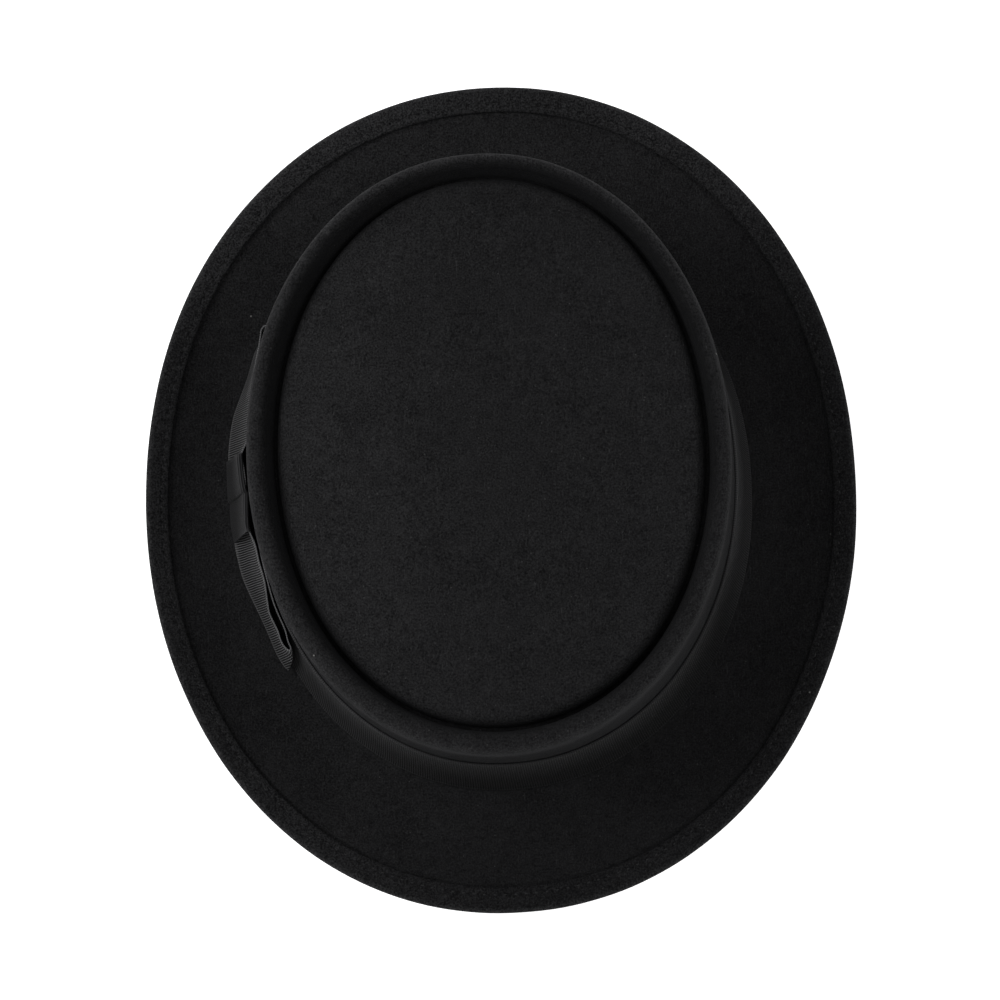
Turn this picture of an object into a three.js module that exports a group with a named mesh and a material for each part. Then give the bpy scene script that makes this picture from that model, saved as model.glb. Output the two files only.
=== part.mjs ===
// Porkpie hat in black felt: a flat-topped crown with a crease all round inside a rolled
// ridge, a brim that curls up a little, with its edge folded over and sewn down, and a
// grosgrain band with a flat bow on the wearer's left.
// Millimetres. X points to the wearer's right, Y to the front and Z up. The origin is on
// the surface that the hat rests on, under the middle of the crown.

import * as THREE from 'three';

// Felt
const feltThickness = 1.8;
const ovalPower = 2.07;           // 2 is an ellipse, more is squarer

// Crown, outside of the felt
const crownHeight = 88.0;         // from the rest surface to the top of the ridge
const waistWidth = 162.0;         // across the wall at the top of the band
const waistLength = 195.8;
const footFlareSide = 5.8;        // how far the foot of the wall stands out past the waist
const footFlareEnd = 4.4;
const footFlareCurve = 1.6;       // 1 is a straight flare, more bends out nearer the foot
const wallTuck = 0.8;             // how far the wall draws in between the band and the ridge
const ridgeInsetSide = 1.6;       // how far the ridge stands in from the waist
const ridgeInsetEnd = -2.2;
const ridgeThicknessSide = 8.3;   // from the crease to the outside of the ridge
const ridgeThicknessEnd = 7.6;
const ridgeRadius = 5.0;          // height of the ridge's round top
const creaseDepth = 14.0;         // from the top of the ridge to the bottom of the crease
const creaseGap = 1.4;            // width of the bottom of the crease
const tipShiftFront = 1.6;        // the tip sits a little to the front inside the ridge
const tipRise = 7.0;              // from the bottom of the crease to the edge of the tip
const tipShoulder = 3.6;          // width of the tip's rounded edge
const tipDome = 1.5;              // rise of the tip's middle above its edge
const breakRadius = 3.0;          // fillet between the wall and the brim

// Brim
const brimWidthSide = 36.4;       // from the foot of the wall to the edge
const brimWidthEnd = 43.6;
const brimFlatWidth = 9.0;        // level part next to the wall
const brimRiseSide = 12.0;        // how far the edge curls up
const brimRiseFront = 8.5;
const brimRiseRear = 8.5;
const curlStart = 2.2;            // 1 is an even curl, more flattens out towards the edge
const weltWidth = 7.2;            // the edge folded over onto the top
const weltThickness = 1.6;
const weltStep = 0.3;             // width of the small step at the welt's inner edge

// Band and bow, in ribbon of one thickness
const ribbonThickness = 1.0;
const sewnGap = 0.3;              // clearance between pieces that are sewn together
const bandHeight = 35.0;
const bandLift = 1.5;             // from the top of the brim to the band's lower edge
const bowHeight = 32.0;
const bowCentre = -1.0;           // along Y
const frontLoopLength = 59.0;     // from the bow's centre to the end of the loop
const rearLoopLength = 58.0;
const bowStandoff = 10.0;         // how far the bow reaches out from the band
const loopPart = 1.0;             // space between the two loops' ends under the knot
const knotWidth = 26.0;
const knotEase = 0.2;             // extra room between the knot and the loops under it
const knotCorner = 1.4;           // rounding where the knot turns over the bow's edges

// Facets
const stationsAround = 60;
const tipRings = 4;
const shoulderRings = 3;
const ridgeRings = 8;
const wallRings = 6;
const breakRings = 2;
const flatRings = 3;
const curlRings = 5;
const edgeRings = 3;
const bandRings = 6;
const loopSteps = 22;
const loopRings = 2;
const knotSteps = 4;

// Places that follow from the sizes above
const brimTop = feltThickness;
const bandFoot = brimTop + bandLift;
const bandTop = bandFoot + bandHeight;
const ridgeFoot = crownHeight - ridgeRadius;
const creaseBottom = crownHeight - creaseDepth;
const bowFoot = bandFoot + (bandHeight - bowHeight) / 2;
const bowTop = bowFoot + bowHeight;
const edgeRadius = (feltThickness + weltThickness) / 2;

// Loops of the bow, from the knot to the end. along is a share of the loop's length, and the
// rest are shares of bowStandoff: how far the outer and the inner layer stand off the band,
// at the loop's lower edge (foot) and upper edge (top).
const frontLoopRows = [
  { along: 0.00, outerFoot: 0.66, outerTop: 0.30, innerFoot: 0.11, innerTop: 0.11 },
  { along: 0.22, outerFoot: 0.78, outerTop: 0.36, innerFoot: 0.13, innerTop: 0.11 },
  { along: 0.36, outerFoot: 0.86, outerTop: 0.36, innerFoot: 0.20, innerTop: 0.12 },
  { along: 0.50, outerFoot: 0.83, outerTop: 0.35, innerFoot: 0.30, innerTop: 0.13 },
  { along: 0.66, outerFoot: 0.77, outerTop: 0.40, innerFoot: 0.40, innerTop: 0.16 },
  { along: 0.85, outerFoot: 0.93, outerTop: 0.60, innerFoot: 0.62, innerTop: 0.30 },
  { along: 0.96, outerFoot: 1.08, outerTop: 0.75, innerFoot: 0.84, innerTop: 0.50 },
];
const rearLoopRows = [
  { along: 0.00, outerFoot: 0.66, outerTop: 0.30, innerFoot: 0.11, innerTop: 0.11 },
  { along: 0.20, outerFoot: 0.58, outerTop: 0.27, innerFoot: 0.11, innerTop: 0.11 },
  { along: 0.36, outerFoot: 0.57, outerTop: 0.23, innerFoot: 0.11, innerTop: 0.09 },
  { along: 0.56, outerFoot: 0.42, outerTop: 0.23, innerFoot: 0.11, innerTop: 0.09 },
  { along: 0.70, outerFoot: 0.33, outerTop: 0.26, innerFoot: 0.10, innerTop: 0.09 },
  { along: 0.84, outerFoot: 0.26, outerTop: 0.31, innerFoot: 0.10, innerTop: 0.10 },
  { along: 0.96, outerFoot: 0.32, outerTop: 0.42, innerFoot: 0.12, innerTop: 0.18 },
];

const felt = new THREE.MeshStandardMaterial({ color: 0x161618, roughness: 0.95, metalness: 0 });
const ribbon = new THREE.MeshStandardMaterial({ color: 0x26262a, roughness: 0.6, metalness: 0 });

// Point on an oval of the given half sizes. The angle is 0 at the wearer's right.
function ovalPoint(halfWidth, halfLength, height, angle) {
  const c = Math.cos(angle);
  const s = Math.sin(angle);
  const share = 2 / ovalPower;
  return new THREE.Vector3(
    halfWidth * Math.sign(c) * Math.abs(c) ** share,
    halfLength * Math.sign(s) * Math.abs(s) ** share,
    height,
  );
}

// Half sizes of the crown's wall at a height, fillet at the foot included.
function wallSection(height) {
  const flare = Math.max(0, (bandTop - height) / (bandTop - brimTop)) ** footFlareCurve;
  const upward = THREE.MathUtils.clamp((height - bandTop) / (ridgeFoot - bandTop), 0, 1);
  const tuck = wallTuck * Math.sin(Math.PI * upward) ** 2;
  const lean = THREE.MathUtils.smoothstep(upward, 0, 1);
  const intoFillet = Math.max(0, brimTop + breakRadius - height);
  const fillet = breakRadius - Math.sqrt(breakRadius ** 2 - intoFillet ** 2);
  return {
    halfWidth: waistWidth / 2 + footFlareSide * flare - ridgeInsetSide * lean - tuck + fillet,
    halfLength: waistLength / 2 + footFlareEnd * flare - ridgeInsetEnd * lean - tuck + fillet,
    height,
  };
}

// Sections of the felt's upper surface, from the middle of the tip out to the brim's edge.
// shift is the share of the tip's shift there, curl the share of the brim's rise, and
// raised is how far the folded welt lifts the surface.
function feltSections() {
  const rows = [];
  const add = (halfWidth, halfLength, height, { shift = 0, curl = 0, raised = 0 } = {}) => {
    rows.push({ halfWidth, halfLength, height, shift, curl, raised });
  };
  const ridge = wallSection(ridgeFoot);
  const creaseWidth = ridge.halfWidth - ridgeThicknessSide;
  const creaseLength = ridge.halfLength - ridgeThicknessEnd;
  const tipEdge = creaseBottom + tipRise;

  for (let i = 1; i <= tipRings; i++) {
    const share = i / tipRings;
    const width = (creaseWidth - tipShoulder) * share;
    const length = (creaseLength - tipShoulder) * share;
    add(width, length, tipEdge + tipDome * (1 - share ** 2), { shift: 1 });
  }
  for (let i = 1; i <= shoulderRings; i++) {
    const turn = (Math.PI / 2) * (i / shoulderRings);
    const inset = tipShoulder * (1 - Math.sin(turn)) + creaseGap / 2;
    const height = creaseBottom + tipRise * Math.cos(turn);
    add(creaseWidth - inset, creaseLength - inset, height, { shift: 1 });
  }
  const innerWidth = creaseWidth + creaseGap / 2;
  const innerLength = creaseLength + creaseGap / 2;
  add(innerWidth, innerLength, creaseBottom, { shift: 1 });
  for (let i = 0; i <= ridgeRings; i++) {
    const turn = Math.PI * (i / ridgeRings);
    const shift = (1 + Math.cos(turn)) / 2;
    add(
      THREE.MathUtils.lerp(ridge.halfWidth, innerWidth, shift),
      THREE.MathUtils.lerp(ridge.halfLength, innerLength, shift),
      ridgeFoot + ridgeRadius * Math.sin(turn),
      { shift },
    );
  }
  const filletTop = brimTop + breakRadius;
  for (let i = 1; i <= wallRings; i++) {
    const section = wallSection(THREE.MathUtils.lerp(ridgeFoot, filletTop, i / wallRings));
    add(section.halfWidth, section.halfLength, section.height);
  }
  for (let i = 1; i <= breakRings; i++) {
    const turn = (Math.PI / 2) * (i / breakRings);
    const section = wallSection(filletTop - breakRadius * Math.sin(turn));
    add(section.halfWidth, section.halfLength, section.height);
  }

  const footWidth = waistWidth / 2 + footFlareSide;
  const footLength = waistLength / 2 + footFlareEnd;
  const addBrim = (out, raised = 0) => {
    const side = brimWidthSide - edgeRadius;
    const end = brimWidthEnd - edgeRadius;
    const bent = Math.max(0, (out - brimFlatWidth) / (side - brimFlatWidth));
    const outEnd = out < brimFlatWidth
      ? out
      : THREE.MathUtils.lerp(brimFlatWidth, end, bent);
    const curl = bent ** 2 * (curlStart - (curlStart - 1) * bent);
    add(footWidth + out, footLength + outEnd, brimTop, { curl, raised });
  };
  for (let i = 1; i <= flatRings; i++) {
    addBrim(THREE.MathUtils.lerp(breakRadius, brimFlatWidth, i / flatRings));
  }
  const weltStart = brimWidthSide - weltWidth;
  for (let i = 1; i <= curlRings; i++) {
    addBrim(THREE.MathUtils.lerp(brimFlatWidth, weltStart - weltStep, i / curlRings));
  }
  addBrim(weltStart, weltThickness);
  addBrim((weltStart + brimWidthSide - edgeRadius) / 2, weltThickness);
  addBrim(brimWidthSide - edgeRadius, weltThickness);
  return rows;
}

// Height that the brim's edge has risen to at an angle round the hat.
function brimRise(angle) {
  const end = Math.sin(angle) > 0 ? brimRiseFront : brimRiseRear;
  return THREE.MathUtils.lerp(brimRiseSide, end, Math.sin(angle) ** 2);
}

// Unit normals of a grid of points, from the neighbours in each row and across the rows.
function gridNormals(grid, closedAround) {
  return grid.map((row, i) => row.map((_, j) => {
    const last = row.length - 1;
    const next = closedAround ? row[(j + 1) % row.length] : row[Math.min(j + 1, last)];
    const previous = closedAround ? row[(j + last) % row.length] : row[Math.max(j - 1, 0)];
    const above = grid[Math.min(i + 1, grid.length - 1)][j];
    const below = grid[Math.max(i - 1, 0)][j];
    const along = above.clone().sub(below);
    const around = next.clone().sub(previous);
    return along.cross(around).normalize();
  }));
}

function geometryFrom(points, triangles) {
  const geometry = new THREE.BufferGeometry();
  const positions = points.flatMap((point) => point.toArray());
  geometry.setAttribute('position', new THREE.Float32BufferAttribute(positions, 3));
  geometry.setIndex(triangles);
  geometry.computeVertexNormals();
  return geometry;
}

// Closed body from rings that each run once round the hat, with a point at either end.
function bodyFromRings(startPoint, rings, endPoint) {
  const points = [startPoint, ...rings.flat(), endPoint];
  const count = rings[0].length;
  const at = (ring, j) => 1 + ring * count + (j % count);
  const lastRing = rings.length - 1;
  const triangles = [];
  for (let j = 0; j < count; j++) {
    triangles.push(0, at(0, j), at(0, j + 1));
    for (let i = 0; i < lastRing; i++) {
      triangles.push(at(i, j), at(i + 1, j), at(i + 1, j + 1));
      triangles.push(at(i, j), at(i + 1, j + 1), at(i, j + 1));
    }
    triangles.push(at(lastRing, j), points.length - 1, at(lastRing, j + 1));
  }
  return geometryFrom(points, triangles);
}

// Closed body of a sheet of even thickness laid along a grid of points.
function sheetBody(grid, thickness, closedAround) {
  const normals = gridNormals(grid, closedAround);
  const face = (side) => grid.map((row, i) => row.map(
    (point, j) => point.clone().addScaledVector(normals[i][j], side * thickness / 2),
  ));
  const front = face(1);
  const back = face(-1);
  const columns = grid[0].length;
  const points = [...front.flat(), ...back.flat()];
  const at = (i, j) => i * columns + (j % columns);
  const behind = grid.length * columns;
  const triangles = [];
  const quad = (a, b, c, d) => triangles.push(a, b, c, a, c, d);
  const columnCount = closedAround ? columns : columns - 1;
  const lastRow = grid.length - 1;
  for (let i = 0; i < lastRow; i++) {
    for (let j = 0; j < columnCount; j++) {
      quad(at(i, j), at(i + 1, j), at(i + 1, j + 1), at(i, j + 1));
      quad(behind + at(i, j), behind + at(i, j + 1), behind + at(i + 1, j + 1), behind + at(i + 1, j));
    }
  }
  for (let j = 0; j < columnCount; j++) {
    quad(at(0, j), at(0, j + 1), behind + at(0, j + 1), behind + at(0, j));
    quad(at(lastRow, j), behind + at(lastRow, j), behind + at(lastRow, j + 1), at(lastRow, j + 1));
  }
  if (!closedAround) {
    const end = columns - 1;
    for (let i = 0; i < lastRow; i++) {
      quad(at(i, 0), behind + at(i, 0), behind + at(i + 1, 0), at(i + 1, 0));
      quad(at(i, end), at(i + 1, end), behind + at(i + 1, end), behind + at(i, end));
    }
  }
  return geometryFrom(points, triangles);
}

// Crown and brim, one piece of felt, hollow and open below, with the doubled welt.
function feltBody() {
  const sections = feltSections();
  const angles = Array.from({ length: stationsAround }, (_, j) => 2 * Math.PI * j / stationsAround);
  const surface = sections.map((row) => angles.map((angle) => {
    const point = ovalPoint(row.halfWidth, row.halfLength, row.height, angle);
    point.y += row.shift * tipShiftFront;
    point.z += row.curl * brimRise(angle);
    return point;
  }));
  const normals = gridNormals(surface, true);
  const offset = (i, distance) => surface[i].map(
    (point, j) => point.clone().addScaledVector(normals[i][j], distance),
  );
  const upper = sections.map((row, i) => offset(i, row.raised));
  const lower = sections.map((_, i) => offset(i, -feltThickness));

  const lastRow = sections.length - 1;
  const edge = Array.from({ length: edgeRings }, (_, k) => {
    const turn = Math.PI * (0.5 - (k + 1) / (edgeRings + 1));
    return surface[lastRow].map((point, j) => {
      const outward = point.clone().sub(surface[lastRow - 1][j]).normalize();
      const up = weltThickness - edgeRadius + edgeRadius * Math.sin(turn);
      return point.clone()
        .addScaledVector(normals[lastRow][j], up)
        .addScaledVector(outward, edgeRadius * Math.cos(turn));
    });
  });

  const tipHeight = creaseBottom + tipRise + tipDome;
  const rings = [...upper, ...edge, ...lower.reverse()];
  return bodyFromRings(
    new THREE.Vector3(0, tipShiftFront, tipHeight),
    rings,
    new THREE.Vector3(0, tipShiftFront, tipHeight - feltThickness),
  );
}

// Ribbon round the foot of the crown.
function hatBand() {
  const standoff = sewnGap + ribbonThickness / 2;
  const rows = Array.from({ length: bandRings + 1 }, (_, i) => {
    const section = wallSection(THREE.MathUtils.lerp(bandTop, bandFoot, i / bandRings));
    return Array.from({ length: stationsAround }, (__, j) => ovalPoint(
      section.halfWidth + standoff,
      section.halfLength + standoff,
      section.height,
      2 * Math.PI * j / stationsAround,
    ));
  });
  return sheetBody(rows, ribbonThickness, true);
}

// Point off the band's outer face on the wearer's left, at a place along Y and a height.
function offBand(y, height, standoff) {
  const section = wallSection(height);
  const reach = sewnGap + ribbonThickness;
  const share = Math.abs(y) / (section.halfLength + reach);
  const x = (section.halfWidth + reach) * (1 - share ** ovalPower) ** (1 / ovalPower);
  return new THREE.Vector3(-x - standoff, y, height);
}

// Value of a loop table at a share of the loop's length.
function rowValue(rows, along, column) {
  const above = rows.findIndex((row) => row.along >= along);
  if (above <= 0) {
    return rows[above < 0 ? rows.length - 1 : 0][column];
  }
  const [low, high] = [rows[above - 1], rows[above]];
  const share = (along - low.along) / (high.along - low.along);
  return THREE.MathUtils.lerp(low[column], high[column], share);
}

// A loop of the bow: ribbon that runs out from the knot, turns at the end and comes back
// nearer to the band. direction is 1 to the front and -1 to the rear.
function bowLoop(rows, length, direction) {
  const edge = (height, outer, inner) => {
    const place = (along, standoff) => {
      const y = bowCentre + direction * Math.max(loopPart / 2, along * length);
      return offBand(y, height, bowStandoff * standoff);
    };
    const last = rows[rows.length - 1];
    const points = [
      ...rows.map((row) => place(row.along, row[outer])),
      place(1, (last[outer] + last[inner]) / 2),
      ...[...rows].reverse().map((row) => place(row.along, row[inner])),
    ];
    return new THREE.CatmullRomCurve3(points).getPoints(loopSteps);
  };
  const foot = edge(bowFoot, 'outerFoot', 'innerFoot');
  const top = edge(bowTop, 'outerTop', 'innerTop');
  const grid = Array.from({ length: loopRings + 1 }, (_, i) => foot.map((point, k) => {
    const station = direction > 0 ? k : loopSteps - k;
    return foot[station].clone().lerp(top[station], 1 - i / loopRings);
  }));
  return sheetBody(grid, ribbonThickness, false);
}

// The short ribbon wrapped over the middle of the bow, from the band over the upper edge,
// down the front and back in under the lower edge.
function bowKnot() {
  const clear = ribbonThickness + sewnGap + knotEase;
  const inset = sewnGap + ribbonThickness / 2;
  const top = bowTop + inset;
  const foot = bowFoot - inset;
  const rows = Array.from({ length: knotSteps + 1 }, (_, i) => {
    const across = knotWidth * (i / knotSteps - 0.5);
    const y = bowCentre + across;
    const [table, length] = across > 0
      ? [frontLoopRows, frontLoopLength]
      : [rearLoopRows, rearLoopLength];
    const along = Math.abs(across) / length;
    const outTop = bowStandoff * rowValue(table, along, 'outerTop') + clear;
    const outFoot = bowStandoff * rowValue(table, along, 'outerFoot') + clear;
    const turned = knotCorner * (1 - Math.SQRT1_2);
    const upperFold = offBand(y, top - knotCorner, outTop);
    const lowerFold = offBand(y, foot + knotCorner, outFoot);
    return [
      offBand(y, top, inset),
      offBand(y, top, outTop - knotCorner),
      offBand(y, top - turned, outTop - turned),
      upperFold,
      upperFold.clone().lerp(lowerFold, 0.5),
      lowerFold,
      offBand(y, foot + turned, outFoot - turned),
      offBand(y, foot, outFoot - knotCorner),
      offBand(y, foot, inset),
    ];
  });
  return sheetBody(rows, ribbonThickness, false);
}

function namedMesh(name, geometry, material) {
  const mesh = new THREE.Mesh(geometry, material);
  mesh.name = name;
  return mesh;
}

const hat = new THREE.Group();
hat.add(namedMesh('felt_body', feltBody(), felt));
hat.add(namedMesh('hat_band', hatBand(), ribbon));
hat.add(namedMesh('bow_front_loop', bowLoop(frontLoopRows, frontLoopLength, 1), ribbon));
hat.add(namedMesh('bow_rear_loop', bowLoop(rearLoopRows, rearLoopLength, -1), ribbon));
hat.add(namedMesh('bow_knot', bowKnot(), ribbon));

export default hat;
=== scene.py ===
import math
import bmesh
import bpy
from mathutils import Matrix, Vector, noise


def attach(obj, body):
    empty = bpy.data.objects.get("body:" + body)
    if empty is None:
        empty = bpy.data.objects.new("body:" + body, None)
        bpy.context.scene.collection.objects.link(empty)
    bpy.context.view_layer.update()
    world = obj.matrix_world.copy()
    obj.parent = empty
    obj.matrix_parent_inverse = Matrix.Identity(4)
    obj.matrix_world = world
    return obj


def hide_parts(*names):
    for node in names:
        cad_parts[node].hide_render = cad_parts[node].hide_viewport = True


noise.seed_set(3)  # the same felt at every run
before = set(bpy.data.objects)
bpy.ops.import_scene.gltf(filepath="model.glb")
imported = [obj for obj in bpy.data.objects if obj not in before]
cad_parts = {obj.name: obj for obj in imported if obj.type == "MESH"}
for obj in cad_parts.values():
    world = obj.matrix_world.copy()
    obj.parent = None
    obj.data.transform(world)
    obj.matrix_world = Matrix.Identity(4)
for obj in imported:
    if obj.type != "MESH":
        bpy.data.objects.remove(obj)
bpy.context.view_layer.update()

# Camera. It looks down on the hat from almost straight above, from a little behind it and to
# its right, and is turned a little. The lens gives 2.9 pixels to the millimetre at the aim.
aim = Vector((0.0, 0.0, 0.020))
camera_distance = 1.2
lean_right = math.radians(2.91)
lean_back = math.radians(10.85)
camera_turn = Matrix.Rotation(math.radians(-1.59), 3, "Z")
frame_width = 1.0 / 2.9
direction = Vector((math.tan(lean_right), -math.tan(lean_back), 1)).normalized()
camera_place = camera_turn @ (aim + camera_distance * direction)
camera_back = (camera_place - aim).normalized()
camera_side = (camera_turn @ Vector((0, 1, 0))).cross(camera_back).normalized()
camera_axes = Matrix((camera_side, camera_back.cross(camera_side), camera_back)).transposed()
camera = bpy.data.objects.new("camera", bpy.data.cameras.new("camera"))
camera.matrix_world = Matrix.Translation(camera_place) @ camera_axes.to_4x4()
camera.data.sensor_width = 36
camera.data.lens = 36 * camera_distance / frame_width
camera.data.shift_x = 0.0019
camera.data.shift_y = -0.0140
camera.data.clip_start = 0.1
bpy.context.scene.collection.objects.link(camera)
bpy.context.scene.camera = camera


# Crown and brim: one hood of black wool felt, blocked with steam into a flat tip, a crease all
# round it and a rolled ridge. The brim's edge is folded over onto its top and sewn down as a
# welt. The hood is hollow, and its underside is finished plainly.
felt_thickness = 0.0018
oval_power = 2.07
crown_height = 0.0880
waist_width, waist_length = 0.1620, 0.1958
foot_flare_side, foot_flare_end, foot_flare_curve = 0.0058, 0.0044, 1.6
wall_tuck = 0.0008
ridge_inset_side, ridge_inset_end = 0.0016, -0.0022
ridge_thickness_side, ridge_thickness_end = 0.0083, 0.0076
ridge_radius = 0.0050
crease_depth, crease_gap = 0.0140, 0.0014
tip_shift, tip_rise, tip_shoulder, tip_dome = 0.0016, 0.0070, 0.0046, 0.0015
crease_slope = 0.0012
break_radius = 0.0030
brim_width_side, brim_width_end, brim_flat_width = 0.0364, 0.0436, 0.0090
brim_rise_side, brim_rise_end, curl_start = 0.0120, 0.0085, 2.2
welt_width, welt_thickness = 0.0072, 0.0016
stitch_inset = 0.0023
band_lift, band_height = 0.0015, 0.0350
felt_stations = 240
stitch_pitch = 0.0036
stitch_length, stitch_width, stitch_rise = 0.00052, 0.00024, 0.00020  # half sizes of a bead
tip_shift_side = 0.0005
skew, skew_start, skew_reach = -0.0009, 0.042, 0.040
tip_rows, shoulder_rows, ridge_rows, wall_rows = 16, 10, 25, 20
crease_heights = (0.0, 0.0012, 0.0035, 0.006, 0.0085)
crease_wall_height = 0.009
# Painted light and shade, as factors on the felt's colour by row: painted shade in the crease and on the
# wall, brim and welt, a painted highlight over the ridge.
crease_painted_shade, ridge_painted_light, wall_painted_shade, brim_painted_shade, welt_painted_shade = 0.60, 1.40, 0.85, 0.80, 0.82

brim_top = felt_thickness
band_foot = brim_top + band_lift
band_top = band_foot + band_height
ridge_foot = crown_height - ridge_radius
crease_bottom = crown_height - crease_depth
fold_radius = (felt_thickness + welt_thickness) / 2
ridge_start = tip_rows + shoulder_rows + len(crease_heights)
wall_start = ridge_start + ridge_rows
brim_start = wall_start + wall_rows


def mix(low, high, share):
    return low + (high - low) * share


def ease(share):
    share = min(1.0, max(0.0, share))
    return share * share * (3 - 2 * share)


def oval_point(half_width, half_length, height, angle):
    c, s = math.cos(angle), math.sin(angle)
    share = 2 / oval_power
    return Vector((half_width * math.copysign(abs(c) ** share, c),
                   half_length * math.copysign(abs(s) ** share, s), height))


def even_angles(half_width, half_length, count):
    """Angles that divide an oval into equal lengths, and the oval's length round."""
    fine = 7200
    points = [oval_point(half_width, half_length, 0, math.tau * k / fine) for k in range(fine + 1)]
    walked = [0.0]
    for before, after in zip(points, points[1:]):
        walked.append(walked[-1] + (after - before).length)
    angles, k = [], 0
    for j in range(count):
        goal = walked[-1] * j / count
        while walked[k + 1] < goal:
            k += 1
        angles.append(math.tau * (k + (goal - walked[k]) / (walked[k + 1] - walked[k])) / fine)
    return angles, walked[-1]


def wall_size(height):
    """Half width and half length of the crown's outside at a height."""
    flare = max(0.0, (band_top - height) / (band_top - brim_top)) ** foot_flare_curve
    upward = min(1.0, max(0.0, (height - band_top) / (ridge_foot - band_top)))
    tuck = wall_tuck * math.sin(math.pi * upward) ** 2
    into_fillet = max(0.0, brim_top + break_radius - height)
    fillet = break_radius - math.sqrt(break_radius ** 2 - into_fillet ** 2)
    side = foot_flare_side * flare - ridge_inset_side * ease(upward)
    end = foot_flare_end * flare - ridge_inset_end * ease(upward)
    return waist_width / 2 + side - tuck + fillet, waist_length / 2 + end - tuck + fillet


def brim_row(out):
    """Section of the brim's top at a distance out from the foot of the wall."""
    side, end = brim_width_side - fold_radius, brim_width_end - fold_radius
    bent = max(0.0, (out - brim_flat_width) / (side - brim_flat_width))
    out_end = out if out < brim_flat_width else mix(brim_flat_width, end, bent)
    curl = bent ** 2 * (curl_start - (curl_start - 1) * bent)
    half_width = waist_width / 2 + foot_flare_side + out
    return half_width, waist_length / 2 + foot_flare_end + out_end, brim_top, 0.0, curl


def felt_rows():
    """Sections of the felt's top, from the tip's middle to the brim's edge, as half width, half
    length, height, share of the tip's shift and share of the brim's rise."""
    rows = []
    ridge_width, ridge_length = wall_size(ridge_foot)
    crease_width = ridge_width - ridge_thickness_side
    crease_length = ridge_length - ridge_thickness_end
    tip_edge = crease_bottom + tip_rise
    for i in range(1, tip_rows + 1):
        share = i / tip_rows
        rows.append(((crease_width - tip_shoulder) * share, (crease_length - tip_shoulder) * share,
                     tip_edge + tip_dome * (1 - share ** 2), 1.0, 0.0))
    for i in range(1, shoulder_rows + 1):
        turn = math.pi / 2 * i / shoulder_rows
        inset = tip_shoulder * (1 - math.sin(turn)) + crease_gap / 2 * (1 - math.cos(turn))
        rows.append((crease_width - inset, crease_length - inset,
                     crease_bottom + tip_rise * math.cos(turn), 1.0, 0.0))
    inner_width, inner_length = crease_width + crease_gap / 2, crease_length + crease_gap / 2
    for height in crease_heights:
        out = crease_slope * ease(height / crease_wall_height)
        rows.append((inner_width + out, inner_length + out, crease_bottom + height, 1.0, 0.0))
    inner_width, inner_length = inner_width + crease_slope, inner_length + crease_slope
    for i in range(ridge_rows):
        turn = math.pi * i / (ridge_rows - 1)
        shift = (1 + math.cos(turn)) / 2
        rows.append((mix(ridge_width, inner_width, shift), mix(ridge_length, inner_length, shift),
                     ridge_foot + ridge_radius * math.sin(turn), shift, 0.0))
    fillet_top = brim_top + break_radius
    for i in range(1, wall_rows + 1):
        height = mix(ridge_foot, fillet_top, i / wall_rows)
        rows.append((*wall_size(height), height, 0.0, 0.0))
    for i in range(1, 6):
        height = fillet_top - break_radius * math.sin(math.pi / 2 * i / 5)
        rows.append((*wall_size(height), height, 0.0, 0.0))
    for i in range(1, 5):
        rows.append(brim_row(mix(break_radius, brim_flat_width, i / 4)))
    for i in range(1, 15):
        rows.append(brim_row(mix(brim_flat_width, brim_width_side - welt_width, i / 14)))
    return rows


def uneven(point):
    """How far hand blocking leaves the felt, and the ribbon on it, from the true shape. Over
    the band the crown is also a little narrower on one diagonal than on the other."""
    off = noise.noise_vector(point * 22) * 0.00028 + noise.noise_vector(point * 70) * 0.00007
    reach = math.hypot(point.x, point.y)
    reach = max(reach, 0.06)
    aside = skew * ease((point.z - skew_start) / skew_reach) * point.x * point.y / reach ** 2
    return off + Vector((point.x, point.y, 0)) / reach * aside


def felt_point(row, angle):
    half_width, half_length, height, shift, curl = row
    point = oval_point(half_width, half_length, height, angle)
    point += Vector((tip_shift_side, tip_shift, 0)) * shift
    point.z += curl * mix(brim_rise_side, brim_rise_end, math.sin(angle) ** 2)
    return point + uneven(point) * (0.15 if height < 0.003 and curl == 0 else 1.0)


# The welt's rows run from the cut edge to the fold, each with its height over the brim's top.
welt_outs = [0.0003, 0.0007, 0.0012, 0.0017, 0.0020, 0.0023, 0.0026, 0.0029, 0.0034, 0.0041,
             0.0048, welt_width - fold_radius]


def welt_height(out):
    pulled = 0.00014 * math.exp(-((out - stitch_inset) / 0.0005) ** 2)
    swell = 0.00012 * math.sin(math.pi * min(1.0, out / stitch_inset))
    return welt_thickness - pulled + swell


rows = felt_rows()
slot_rows = len(rows)
rows += [brim_row(brim_width_side - welt_width + out) for out in welt_outs]
welt_middle = brim_row(brim_width_side - welt_width + stitch_inset)
felt_angles, welt_round = even_angles(welt_middle[0], welt_middle[1], felt_stations)
top = [[felt_point(row, angle) for angle in felt_angles] for row in rows]


def grid_normal(grid, i, j):
    along = grid[min(i + 1, len(grid) - 1)][j] - grid[max(i - 1, 0)][j]
    around = grid[i][(j + 1) % len(grid[i])] - grid[i][j - 1]
    return along.cross(around).normalized()


normals = [[grid_normal(top, i, j) for j in range(felt_stations)] for i in range(len(top))]


def raised(i, height):
    return [point + normal * height for point, normal in zip(top[i], normals[i])]


def folded(turn):
    """Ring of the brim's outer edge, where the felt folds over."""
    last = len(top) - 1
    middle = (welt_thickness - felt_thickness) / 2
    ring = []
    for point, inner, normal in zip(top[last], top[last - 1], normals[last]):
        outward = (point - inner).normalized()
        ring.append(point + normal * (middle + fold_radius * math.sin(turn))
                    + outward * fold_radius * math.cos(turn))
    return ring


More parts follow.
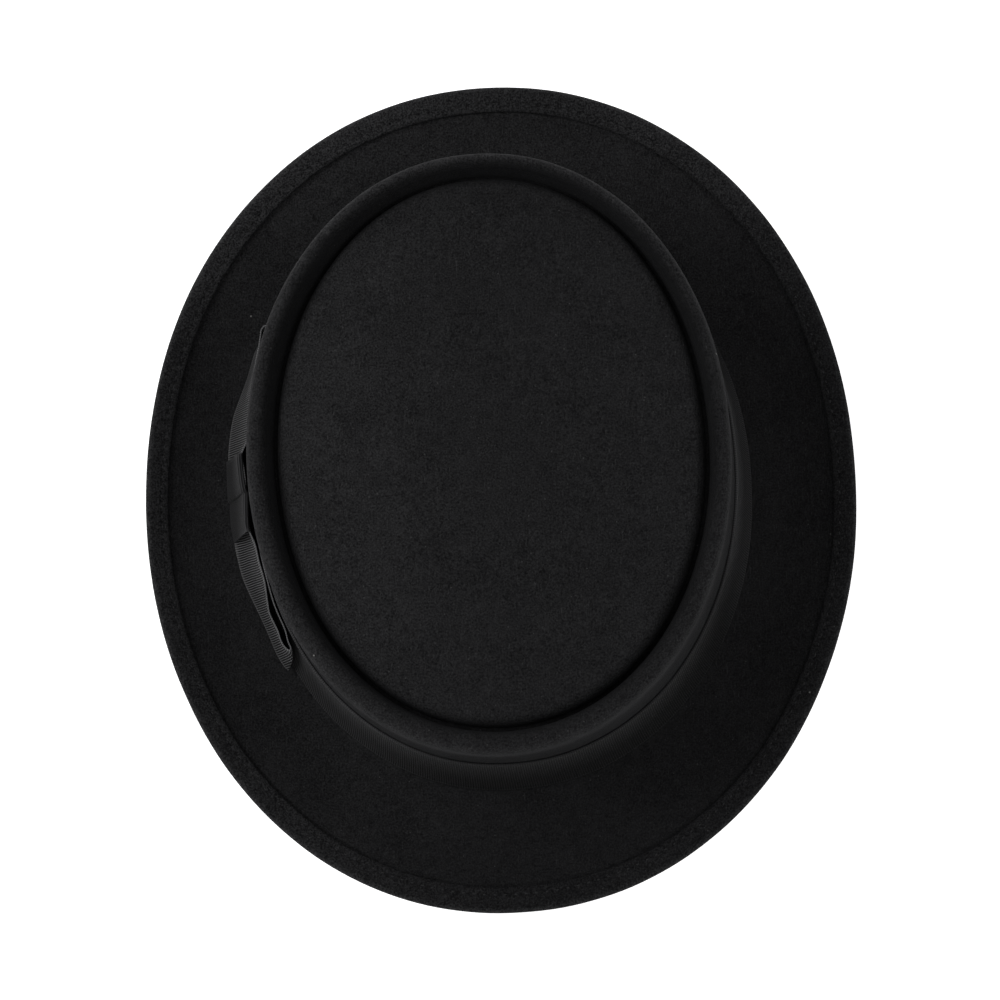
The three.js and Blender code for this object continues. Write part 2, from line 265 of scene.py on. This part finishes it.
def painted_row_light(i):
    """Painted light and shade of a row: painted shade in the crease, on the wall and on the brim,
    a painted highlight on the ridge.
    """
    if i < tip_rows:
        return 1.0
    if i < ridge_start:
        return mix(1.0, crease_painted_shade, ease((i - tip_rows - 2) / 9))
    if i < wall_start:
        over = (1 - math.cos(math.pi * (i - ridge_start) / (ridge_rows - 1))) / 2
        return mix(crease_painted_shade, ridge_painted_light, over)
    return mix(ridge_painted_light, wall_painted_shade, min(1.0, (i - wall_start + 1) / 8)) if i < brim_start else brim_painted_shade


def painted_light_by_place(number, point):
    """Painted light and shade by place: a painted highlight at the front from the ridge outwards,
    and painted shade inside the ridge on the wearer's left and on the wall at the rear."""
    front_painted_light = ease((point.y - 0.03) / 0.10) if number >= ridge_start else 0.0
    inside = ease((ridge_start + 15 - number) / 15) if number >= ridge_start - 6 else 0.0
    wall = ease((number - wall_start + 8) / 8) if number < brim_start else 0.0
    shaded_left = 1 - 0.55 * inside * ease((-point.x - 0.02) / 0.05)
    shaded_rear = 1 - 0.35 * wall * ease(-point.y / 0.07)
    return (1 + 0.8 * front_painted_light) * shaded_left * shaded_rear


# Rings of the closed felt, each with its painted light and shade and how far across the welt it lies.
rings = [(raised(i, 0.0), painted_row_light(i), -1.0) for i in range(slot_rows + 9)]
for i in range(slot_rows + 8, slot_rows - 1, -1):
    rings.append((raised(i, mix(0.00024, 0.00008, min(1, (i - slot_rows) / 4))), 1.0, -1.0))
for height, inward in ((0.0006, 0.00028), (0.0010, 0.00026), (0.0013, 0.00010)):
    lip = [point + (point - outer).normalized() * inward
           for point, outer in zip(raised(slot_rows, height), top[slot_rows + 1])]
    rings.append((lip, 0.9, 0.0))
for i, out in enumerate(welt_outs):
    rounding = 0.00006 if i == 0 else 0.0
    rings.append((raised(slot_rows + i, welt_height(out) - rounding), welt_painted_shade, out))
# The fold's outer face gets a painted highlight.
for k in range(1, 12):
    turn = math.pi * (0.5 - k / 12)
    rim_painted_light = welt_painted_shade + 0.8 * math.exp(-((turn - 0.3) / 0.7) ** 2)
    rings.append((folded(turn), rim_painted_light, welt_width + 0.001 * k))
for i in range(len(rows) - 1, -1, -1):
    rings.append((raised(i, -felt_thickness), 0.9, -1.0))

stitch_count = 2 * round(welt_round / stitch_pitch / 2)
felt = bmesh.new()
station_layer = felt.verts.layers.int.new("station")
painted_light_layer = felt.verts.layers.float.new("painted_row_light")
across_layer = felt.verts.layers.float.new("across")
welt_map = felt.loops.layers.uv.new("welt")
disc = bmesh.ops.create_circle(felt, cap_ends=True, cap_tris=True, segments=felt_stations, radius=1)
middle = min(disc["verts"], key=lambda vert: vert.co.length)
ring_verts = [vert for vert in disc["verts"] if vert != middle]
for vert in ring_verts:
    share = math.atan2(vert.co.y, vert.co.x) / math.tau
    vert[station_layer] = round(share * felt_stations) % felt_stations
middle.co = (0, tip_shift, rings[0][0][0].z)
middle[painted_light_layer] = 1.0
for number, (ring, painted_light, across) in enumerate(rings):
    if number:
        grown = bmesh.ops.extrude_edge_only(felt, edges=ring_edges)["geom"]
        ring_verts = [item for item in grown if isinstance(item, bmesh.types.BMVert)]
        ring_edges = [item for item in grown if isinstance(item, bmesh.types.BMEdge)]
    else:
        ring_edges = [edge for edge in felt.edges if edge.is_boundary]
    for vert in ring_verts:
        vert.co = ring[vert[station_layer]]
        vert[painted_light_layer] = painted_light * painted_light_by_place(number, vert.co)
        vert[across_layer] = across
under_middle = Vector((0, tip_shift, rings[-1][0][0].z))
bmesh.ops.pointmerge(felt, verts=ring_verts, merge_co=under_middle)
bmesh.ops.recalc_face_normals(felt, faces=felt.faces)
for face in felt.faces:
    stations = [loop.vert[station_layer] for loop in face.loops]
    seam = max(stations) - min(stations) > felt_stations / 2
    for loop, station in zip(face.loops, stations):
        turned = station + felt_stations * (seam and station < felt_stations / 2)
        loop[welt_map].uv = (turned / felt_stations * stitch_count, loop.vert[across_layer])


class Wire:
    """A socket of a finish. Sums on it add Math nodes."""

    def __init__(self, finish, socket):
        self.finish, self.socket = finish, socket

    def sum(self, operation, *values):
        inputs = {number: value for number, value in enumerate(values)}
        return self.finish.node("Math", {"operation": operation}, inputs)

    def __add__(self, other):
        return self.sum("ADD", self, other)

    def __sub__(self, other):
        return self.sum("SUBTRACT", self, other)

    def __rsub__(self, other):
        return self.sum("SUBTRACT", other, self)

    def __mul__(self, other):
        return self.sum("MULTIPLY", self, other)

    def __truediv__(self, other):
        return self.sum("DIVIDE", self, other)

    def __pow__(self, other):
        return self.sum("POWER", self, other)

    __radd__ = __add__
    __rmul__ = __mul__


class Finish:
    """A material with one Principled shader."""

    def __init__(self, name, **fixed):
        self.material = bpy.data.materials.new(name)
        self.material.use_nodes = True
        self.tree = self.material.node_tree
        self.shader = self.tree.nodes["Principled BSDF"]
        for key, value in fixed.items():
            self.shader.inputs[key.replace("_", " ")].default_value = value

    def node(self, kind, settings=None, inputs=None, output=0):
        made = self.tree.nodes.new("ShaderNode" + kind)
        for key, value in (settings or {}).items():
            if key == "stops":
                for stop, (place, colour) in zip(made.color_ramp.elements, value):
                    stop.position, stop.color = place, colour
            else:
                setattr(made, key, value)
        for key, value in (inputs or {}).items():
            self.join(value, made.inputs[key])
        return Wire(self, made.outputs[output])

    def join(self, value, socket):
        if isinstance(value, Wire):
            self.tree.links.new(value.socket, socket)
        else:
            socket.default_value = value

    def noise(self, vector, size, detail=3.0, roughness=0.6, distortion=0.0):
        inputs = {"Vector": vector, "Scale": 1 / size, "Detail": detail,
                  "Roughness": roughness, "Distortion": distortion}
        return self.node("TexNoise", {}, inputs)

    def step(self, value, low, high):
        """0 below low, 1 above high, and smooth between."""
        return self.node("MapRange", {"interpolation_type": "SMOOTHSTEP"},
                         {"Value": value, "From Min": low, "From Max": high})

    def axis(self, vector, name):
        return self.node("SeparateXYZ", {}, {"Vector": vector}, name)

    def specks(self, vector, spacing, picked, radius):
        """1 on small specks, 0 off them. The radius is a share of the spacing."""
        cells = {"Vector": vector, "Scale": 1 / spacing}
        distance = self.node("TexVoronoi", {}, cells, "Distance")
        chance = self.axis(self.node("TexVoronoi", {}, cells, "Color"), "X")
        return (1 - self.step(distance, *radius)) * self.step(chance, *picked)

    def colour(self, share, low, high):
        return self.node("Mix", {"data_type": "RGBA"}, {0: share, 6: low, 7: high}, 2)

    def wear(self, **varying):
        for key, value in varying.items():
            self.join(value, self.shader.inputs[key.replace("_", " ")])


# The felt's finish: a matted nap of very short wool fibres, dyed black. It is mottled where the
# fibres lie differently, dented at each welt stitch, and holds neps of paler wool and a few
# specks of lint. Painted light and shade from the rows and places lighten or darken it, the
# wearer's left is lighter as painted light, and each stitch dent is darker as painted shade.
wool = Finish("black_wool_felt", Roughness=0.92, Specular_IOR_Level=0.08, Sheen_Weight=0.008,
              Sheen_Roughness=0.55, Sheen_Tint=(0.9, 0.92, 1.0, 1.0))
here = wool.node("TexCoord", output="Object")
cloud = wool.noise(here, 0.022, 2.0)
mottle = wool.noise(here, 0.0035, 3.0, 0.55)
grain = wool.noise(here, 0.00062, 3.0, 0.7, 0.3)
strands = None
for slant, stretch in ((0.4, (1, 0.13, 0.5)), (1.7, (1, 0.16, 0.6)), (2.6, (0.9, 0.12, 0.4))):
    laid = wool.node("Mapping", {}, {"Vector": here, "Rotation": (0.3, slant / 3, slant),
                                     "Scale": stretch})
    strand = wool.step(wool.noise(laid, 0.00042, 2.0, 0.5, 1.2), 0.60, 0.80)
    strands = strand if strands is None else wool.node("Math", {"operation": "MAXIMUM"},
                                                       {0: strands, 1: strand})
painted_light = wool.node("Attribute", {"attribute_name": "painted_row_light"}, output="Fac")
welt_place = wool.node("UVMap", {"uv_map": "welt"})
along_welt = wool.axis(welt_place, "X")
across_welt = wool.axis(welt_place, "Y")
hole_along = wool.node("Math", {"operation": "PINGPONG"}, {0: along_welt, 1: 0.5}) * stitch_pitch
hole_across = across_welt - stitch_inset
hole_distance = (hole_along * hole_along + hole_across * hole_across) ** 0.5
hole = 1 - wool.step(hole_distance, 0.0002, 0.0007)
on_welt = wool.step(across_welt, -0.9, -0.1)
tone = (mottle - 0.5) * 0.22 + (grain - 0.5) * (1.2 + on_welt * 0.6) + (cloud - 0.5) * 0.15 + 0.22
tone = tone + strands * 0.33
# The row and place factors carry painted light and shade; each stitch dent is darkened as painted shade.
tone = wool.node("Math", {"operation": "MAXIMUM"}, {0: tone, 1: 0.03}) * painted_light * (1 - hole * 0.35)
# Painted light: the felt on the wearer's left is made lighter.
felt_left_painted_light = wool.step(wool.axis(here, "X"), 0.01, -0.075)
tone = tone * (1 + felt_left_painted_light * 0.38)
felt_colour = wool.colour(tone, (0.0014, 0.0014, 0.0016, 1), (0.038, 0.038, 0.0395, 1))
lint = wool.specks(here, 0.0095, (0.87, 0.88), (0.020, 0.045))
felt_colour = wool.colour(lint * 0.8, felt_colour, (0.22, 0.22, 0.21, 1))
nep = wool.specks(here, 0.0026, (0.70, 0.80), (0.03, 0.12))
felt_colour = wool.colour(nep * 0.6, felt_colour, (0.06, 0.06, 0.06, 1))
nap = grain * 0.7 + mottle * 0.5 + strands * 0.4 - hole * 0.5
nap_normal = wool.node("Bump", {}, {"Strength": 0.8, "Distance": 0.00045, "Height": nap})
wool.wear(Base_Color=felt_colour, Roughness=0.98 - strands * 0.12, Normal=nap_normal)


def finish_piece(mesh_in_work, name, slot, finish, *nodes):
    """Turns a worked mesh into a piece of the hat, in place of the solids that it stands for."""
    mesh = bpy.data.meshes.new(name)
    mesh_in_work.to_mesh(mesh)
    mesh_in_work.free()
    mesh.shade_smooth()
    mesh.materials.append(finish.material)
    piece = bpy.data.objects.new(name, mesh)
    bpy.context.scene.collection.objects.link(piece)
    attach(piece, "root")
    if nodes:
        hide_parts(*nodes)
    return piece


finish_piece(felt, "crown_and_brim", "felt", wool, "felt_body")

# Welt stitches: black sewing thread that goes down through both layers of felt and shows as a
# short bead between two holes, all round the brim.
thread = bmesh.new()
stitch_angles, _ = even_angles(welt_middle[0], welt_middle[1], stitch_count)
for number, angle in enumerate(stitch_angles):
    following = stitch_angles[(number + 1) % stitch_count] + math.tau * (number + 1 == stitch_count)
    angle = (angle + following) / 2
    place = felt_point(welt_middle, angle)
    along = (felt_point(welt_middle, angle + 0.002) - felt_point(welt_middle, angle - 0.002)).normalized()
    wider = brim_row(brim_width_side - welt_width + stitch_inset + 0.0005)
    outward = (felt_point(wider, angle) - place).normalized()
    up = outward.cross(along).normalized()
    if up.z < 0:
        up = -up
    outward = up.cross(along).normalized()
    slant = Matrix.Rotation(0.18 + 0.12 * noise.noise(place * 900), 4, "Z")
    axes = Matrix((along, outward, up)).transposed().to_4x4()
    seat = place + up * (welt_height(stitch_inset) + 0.00002)
    size = Matrix.Diagonal((stitch_length, stitch_width, stitch_rise, 1))
    bmesh.ops.create_uvsphere(thread, u_segments=8, v_segments=5, radius=1,
                              matrix=Matrix.Translation(seat) @ axes @ slant @ size)
cotton = Finish("black_sewing_thread", Roughness=0.6, Specular_IOR_Level=0.3)
here = cotton.node("TexCoord", output="Object")
twist = cotton.noise(here, 0.0003, 2.0)
cotton.wear(Base_Color=cotton.colour(twist, (0.004, 0.004, 0.0045, 1), (0.016, 0.016, 0.017, 1)))
finish_piece(thread, "welt_stitches", "felt", cotton)

# Hat band: black grosgrain ribbon, ribbed across its length, wrapped round the foot of the crown
# and sewn behind the bow. Both edges are woven selvedges, closer and a little lighter.
ribbon_thickness = 0.0009
sewn_gap = 0.00014
rib_pitch, warp_pitch = 0.00082, 0.00022
follow_felt = 0.8  # share of the felt's unevenness that shows in the ribbon
band_stations, band_rows = 360, 18
band_standoff = sewn_gap + ribbon_thickness / 2


def band_point(angle, height, standoff):
    half_width, half_length = wall_size(height)
    point = oval_point(half_width + standoff, half_length + standoff, height, angle)
    return point + uneven(point) * follow_felt


def strip(rows_of_points, width, slant=0.0):
    """A ribbon along rows of points, the first row at its foot, with a map in metres. Its ribs
    lean by the slant."""
    count, steps = len(rows_of_points) - 1, len(rows_of_points[0]) - 1
    middle_row = rows_of_points[count // 2]
    length = sum((b - a).length for a, b in zip(middle_row, middle_row[1:]))
    made = bmesh.new()
    cloth_map = made.loops.layers.uv.new("cloth")
    bmesh.ops.create_grid(made, x_segments=steps, y_segments=count, size=0.5)
    for vert in made.verts:
        vert.index = round((vert.co.x + 0.5) * steps) + round((vert.co.y + 0.5) * count) * (steps + 1)
    for face in made.faces:
        for loop in face.loops:
            up = (loop.vert.co.y + 0.5) * width
            loop[cloth_map].uv = ((loop.vert.co.x + 0.5) * length + slant * up, up)
    for vert in made.verts:
        row, step = divmod(vert.index, steps + 1)
        vert.co = rows_of_points[row][step]
    bmesh.ops.remove_doubles(made, verts=made.verts, dist=1e-7)
    return made, length


def thicken(piece, thickness):
    wall = piece.modifiers.new("thickness", "SOLIDIFY")
    wall.thickness, wall.offset, wall.use_even_offset = thickness, 0, True
    edge = piece.modifiers.new("selvedge", "BEVEL")
    edge.width, edge.segments, edge.limit_method = thickness * 0.3, 2, "ANGLE"
    edge.angle_limit = math.radians(60)
    return piece


def grosgrain(name, low, high, width, ridged, edging):
    """Ribbon finish. Ribs run across the cloth, and warp threads along it over each rib. The
    grooves between ribs are darkened as painted shade, and the ribbon is made paler at both
    sides of the hat than at the rear as painted light."""
    cloth = Finish(name, Roughness=0.5, Specular_IOR_Level=0.15, Sheen_Weight=0.015,
                   Sheen_Roughness=0.4)
    place = cloth.node("UVMap", {"uv_map": "cloth"})
    along, across = cloth.axis(place, "X"), cloth.axis(place, "Y")
    object_place = cloth.node("TexCoord", output="Object")
    drift = (cloth.noise(object_place, 0.006, 2.0) - 0.5) * 0.00025
    turn = cloth.node("Math", {"operation": "PINGPONG"}, {0: along + drift, 1: rib_pitch / 2})
    rise = turn / (rib_pitch / 2)
    rib = cloth.node("Math", {"operation": "SINE"}, {0: rise * (math.pi / 2)}) ** ridged
    warp = cloth.node("Math", {"operation": "PINGPONG"}, {0: across, 1: warp_pitch / 2}) / (warp_pitch / 2)
    to_edge = cloth.node("Math", {"operation": "MINIMUM"}, {0: across, 1: width - across})
    selvedge = 1 - cloth.step(to_edge, 0.0006, edging)
    uneven_dye = cloth.noise(object_place, 0.004, 3.0)
    fuzz = cloth.noise(object_place, 0.0004, 2.0)
    # The rib profile darkens the grooves between the ribs: painted shade.
    tone = rib * (0.85 + (uneven_dye - 0.5) * 0.4 + (fuzz - 0.5) * 0.4 + warp * 0.08)
    tone = tone + selvedge * (1 - rib) * 0.35
    # Painted light: paler on the wearer's left, paler still on the right, darkest at the rear.
    sideways = cloth.axis(object_place, "X")
    ribbon_left_painted_light = cloth.step(sideways, -0.01, -0.06) * 0.62
    ribbon_right_painted_light = cloth.step(sideways, 0.074, 0.088) * 1.2
    tone = tone * (0.38 + ribbon_left_painted_light + ribbon_right_painted_light)
    cloth.wear(
        Base_Color=cloth.colour(tone, low, high),
        Roughness=0.70 - rib * 0.18 + (fuzz - 0.5) * 0.2,
        Normal=cloth.node("Bump", {}, {"Strength": 1.0, "Distance": 0.00026,
                                       "Height": rib * (1 - selvedge * 0.5) + warp * 0.15}),
    )
    return cloth


band_middle = wall_size((band_foot + band_top) / 2)
band_angles, _ = even_angles(*band_middle, band_stations)
band_angles.append(math.tau)
band_grid = [[band_point(angle, mix(band_foot, band_top, i / band_rows), band_standoff)
              for angle in band_angles] for i in range(band_rows + 1)]
band, band_length = strip(band_grid, band_height)
band_cloth = grosgrain("black_grosgrain", (0.002, 0.002, 0.0022, 1), (0.046, 0.046, 0.048, 1),
                       band_height, 1.6, 0.0011)
band_piece = finish_piece(band, "grosgrain_band", "ribbon", band_cloth, "hat_band")
thicken(band_piece, ribbon_thickness)

# Bow loops: the same ribbon in a narrower width, folded into a loop to the front and one to the
# rear, flat against the band on the wearer's left and sewn through under the knot. The rows
# give, from the knot outwards, how far the outer and the inner layer stand off the band.
bow_foot, bow_top = 0.0048, 0.0368
bow_height = bow_top - bow_foot
bow_ribbon = 0.00048
front_rows = [  # y, outer at foot, outer at top, inner at foot, inner at top, bulge, in millimetres
    (0.5, 7.4, 3.3, 1.2, 1.8, 0.0), (6.0, 7.9, 4.0, 1.3, 2.2, 0.0), (10.5, 8.3, 5.1, 1.4, 3.1, 0.0),
    (13.0, 8.6, 4.6, 1.5, 3.0, 0.0), (16.0, 8.9, 3.5, 1.6, 1.9, 0.1), (20.5, 9.2, 3.5, 2.0, 1.6, 0.2),
    (26.5, 9.5, 4.1, 3.0, 2.0, 0.25), (32.0, 9.5, 4.9, 4.0, 2.8, 0.25), (38.7, 8.9, 5.9, 5.0, 3.8, 0.2),
    (44.6, 8.7, 6.9, 6.0, 5.0, 0.15), (48.5, 9.1, 7.7, 6.8, 6.0, 0.1), (52.3, 9.7, 8.9, 7.8, 7.2, 0.0),
    (54.3, 10.0, 9.6, 8.5, 8.2, 0.0),
]
rear_rows = [
    (-2.5, 6.9, 3.2, 1.0, 1.4, 0.0), (-8.0, 6.9, 3.3, 1.0, 1.4, -0.4), (-13.0, 6.8, 3.4, 1.0, 1.2, -1.5),
    (-16.0, 6.7, 3.2, 0.9, 1.0, -1.9), (-18.2, 6.6, 2.5, 0.9, 0.7, -1.1), (-21.0, 6.4, 1.9, 0.9, 0.6, -0.2),
    (-26.0, 6.1, 1.8, 0.9, 0.6, 0.15), (-31.6, 5.2, 1.6, 0.9, 0.6, 0.15), (-35.0, 4.6, 1.9, 0.9, 0.7, 0.15),
    (-40.3, 3.9, 3.0, 0.9, 1.0, 0.1), (-44.4, 3.6, 3.8, 1.0, 1.0, 0.0), (-50.0, 3.7, 3.7, 1.2, 1.1, 0.0),
    (-54.0, 3.9, 4.4, 1.8, 2.1, 0.0),
]
front_end, rear_end = (56.8, 56.0), (-59.3, -57.2)  # y of the fold at the foot and at the top


def off_band(y, height, standoff):
    half_width, half_length = wall_size(height)
    reach = band_standoff + ribbon_thickness / 2
    share = abs(y) / (half_length + reach)
    x = (half_width + reach) * (1 - share ** oval_power) ** (1 / oval_power)
    point = Vector((-x - standoff, y, height))
    return point + uneven(point) * follow_felt


def smooth_line(points, steps):
    """Points a step apart along a smooth line through the given ones."""
    ends = [2 * points[0] - points[1], *points, 2 * points[-1] - points[-2]]
    fine = []
    for a, b, c, d in zip(ends, ends[1:], ends[2:], ends[3:]):
        for k in range(16):
            t = k / 16
            fine.append(0.5 * (2 * b + (c - a) * t + (2 * a - 5 * b + 4 * c - d) * t * t
                               + (3 * b - a - 3 * c + d) * t ** 3))
    fine.append(points[-1])
    walked = [0.0]
    for before, after in zip(fine, fine[1:]):
        walked.append(walked[-1] + (after - before).length)
    line, k = [], 0
    for step in range(steps + 1):
        goal = walked[-1] * step / steps
        while k < len(fine) - 2 and walked[k + 1] < goal:
            k += 1
        share = (goal - walked[k]) / max(walked[k + 1] - walked[k], 1e-12)
        line.append(fine[k].lerp(fine[k + 1], min(1.0, share)))
    return line


def bow_loop(name, table, end, node, slant):
    """A loop of ribbon, out along the table's outer layer and back along its inner one."""
    across, steps = 12, 150
    grid = []
    for i in range(across + 1):
        up = i / across
        height = mix(bow_foot, bow_top, up)

        def at(y, foot, top, bulge=0.0):
            off = mix(foot, top, up) + bulge * math.sin(math.pi * up)
            return off_band(y * 0.001, height, off * 0.001)

        out = [at(y, foot, top, bulge) for y, foot, top, _, _, bulge in table]
        back = [at(y, foot, top) for y, _, _, foot, top, _ in reversed(table)]
        last_y, outer_foot, outer_top, inner_foot, inner_top, _ = table[-1]
        tip = mix(end[0], end[1], up)
        turn = []
        for part, share in ((0.72, 0.86), (1.0, 0.5), (0.72, 0.14)):
            foot_off, top_off = mix(inner_foot, outer_foot, share), mix(inner_top, outer_top, share)
            turn.append(at(mix(last_y, tip, part), foot_off, top_off))
        grid.append(smooth_line(out + turn + back, steps))
    if end[0] < 0:
        grid = [row[::-1] for row in grid]
    loop, length = strip(grid, bow_height, slant)
    piece = finish_piece(loop, name, "ribbon", bow_cloth, node)
    thicken(piece, bow_ribbon)
    return piece


# The loops are given a paler colour than the band and the knot of the same ribbon: painted light.
bow_cloth = grosgrain("black_bow_grosgrain", (0.0006, 0.0006, 0.0007, 1), (0.200, 0.200, 0.205, 1),
                      bow_height, 6.0, 0.0030)
bow_loop("front_loop", front_rows, front_end, "bow_front_loop", 0.11)
bow_loop("rear_loop", rear_rows, rear_end, "bow_rear_loop", 0.15)

# Bow knot: a short ribbon wrapped over the middle of the bow, with its ribs along the band. It
# is pleated down its middle, so its front half lies over its rear half.
knot_front_foot, knot_rear_foot = 15.2, -14.0
knot_front_top, knot_rear_top = 11.3, -16.0
knot_width, knot_overhang = 0.0280, 0.0008
knot_rows = [  # share across from the front, standoff at the foot and at the top, top fold, in mm
    (0.00, 9.5, 6.8, 1.7), (0.12, 9.1, 6.4, 1.7), (0.30, 8.7, 5.8, 1.8), (0.43, 8.45, 5.3, 1.9),
    (0.485, 8.3, 5.05, 1.9), (0.500, 8.1, 4.9, 1.9), (0.507, 7.7, 4.2, 1.6), (0.53, 7.65, 4.2, 1.6),
    (0.62, 7.7, 4.35, 1.6), (0.80, 7.5, 4.6, 1.5), (0.92, 7.2, 4.7, 1.3), (1.00, 6.9, 4.4, 1.1),
]


def knot_value(share, column):
    for low, high in zip(knot_rows, knot_rows[1:]):
        if share <= high[0]:
            return mix(low[column], high[column], (share - low[0]) / (high[0] - low[0]))
    return knot_rows[-1][column]


knot_shares = sorted({*(k / 24 for k in range(25)), 0.475, 0.485, 0.493, 0.5035, 0.507, 0.512, 0.53})
knot_grid = []
for share in reversed(knot_shares):
    foot_off, top_off, fold = (knot_value(share, column) for column in (1, 2, 3))
    foot_y = mix(knot_front_foot, knot_rear_foot, share)
    top_y = mix(knot_front_top, knot_rear_top, share)
    upper, lower = bow_top + knot_overhang, bow_foot - knot_overhang

    def at(height, standoff):
        up = (height - lower) / (upper - lower)
        return off_band(mix(foot_y, top_y, up) * 0.001, height, standoff * 0.001)

    line = [at(lower + 0.006, foot_off - 1.8), at(lower + 0.0006, foot_off - 1.7),
            at(lower, foot_off - 0.9), at(lower + 0.0007, foot_off - 0.1)]
    for k in range(1, 12):
        up = k / 12
        swell = mix(0.25, 0.7, max(0.0, share - 0.8) * 5) * math.sin(math.pi * up)
        line.append(at(mix(lower + 0.0009, upper - 0.0009, up), mix(foot_off, top_off, up) + swell))
    line += [at(upper - 0.0007, top_off - 0.05), at(upper, top_off - fold / 2),
             at(upper - 0.0007, top_off - fold), at(upper - 0.006, top_off - fold)]
    knot_grid.append(smooth_line(line, 96))
knot, knot_length = strip(knot_grid, knot_width)
# The knot is given a darker colour than the loops of the same ribbon: painted shade.
knot_cloth = grosgrain("black_knot_grosgrain", (0.003, 0.003, 0.0033, 1), (0.038, 0.038, 0.040, 1),
                       knot_width, 1.6, 0.0011)
knot_piece = finish_piece(knot, "knot", "ribbon", knot_cloth, "bow_knot")
thicken(knot_piece, bow_ribbon)

# Floor and light: a plain white floor that glows enough to stay white, under four soft boxes at
# the hat's left, right, front and rear.
floor = bmesh.new()
bmesh.ops.create_grid(floor, x_segments=1, y_segments=1, size=6)
floor_mesh = bpy.data.meshes.new("floor")
floor.to_mesh(floor_mesh)
floor.free()
floor_piece = bpy.data.objects.new("floor", floor_mesh)
bpy.context.scene.collection.objects.link(floor_piece)
paper = Finish("white_paper", Base_Color=(0.9, 0.9, 0.9, 1), Roughness=0.9, Emission_Strength=0.75,
               Emission_Color=(1, 1, 1, 1), Specular_IOR_Level=0.1)
floor_mesh.materials.append(paper.material)


def soft_box(name, place, aim_at, width, height, power):
    light = bpy.data.lights.new(name, "AREA")
    light.shape, light.size, light.size_y, light.energy = "RECTANGLE", width, height, power
    holder = bpy.data.objects.new(name, light)
    holder.location = place
    holder.rotation_euler = (Vector(aim_at) - Vector(place)).to_track_quat("-Z", "Y").to_euler()
    bpy.context.scene.collection.objects.link(holder)


soft_box("left_box", (-0.95, 0.1, 1.25), (0, 0, 0.05), 0.9, 0.9, 13)
soft_box("right_box", (0.95, -0.1, 1.25), (0, 0, 0.05), 0.9, 0.9, 6.5)
soft_box("front_box", (0.0, 1.3, 0.8), (0, 0, 0.05), 1.0, 0.8, 4.5)
soft_box("rear_box", (0.0, -0.9, 1.5), (0, 0, 0.05), 0.9, 0.7, 8)
sky = bpy.data.worlds.new("sky")
sky.use_nodes = True
sky.node_tree.nodes["Background"].inputs["Color"].default_value = (1, 1, 1, 1)
sky.node_tree.nodes["Background"].inputs["Strength"].default_value = 0.125
bpy.context.scene.world = sky
bpy.context.scene.view_settings.view_transform = "Standard"
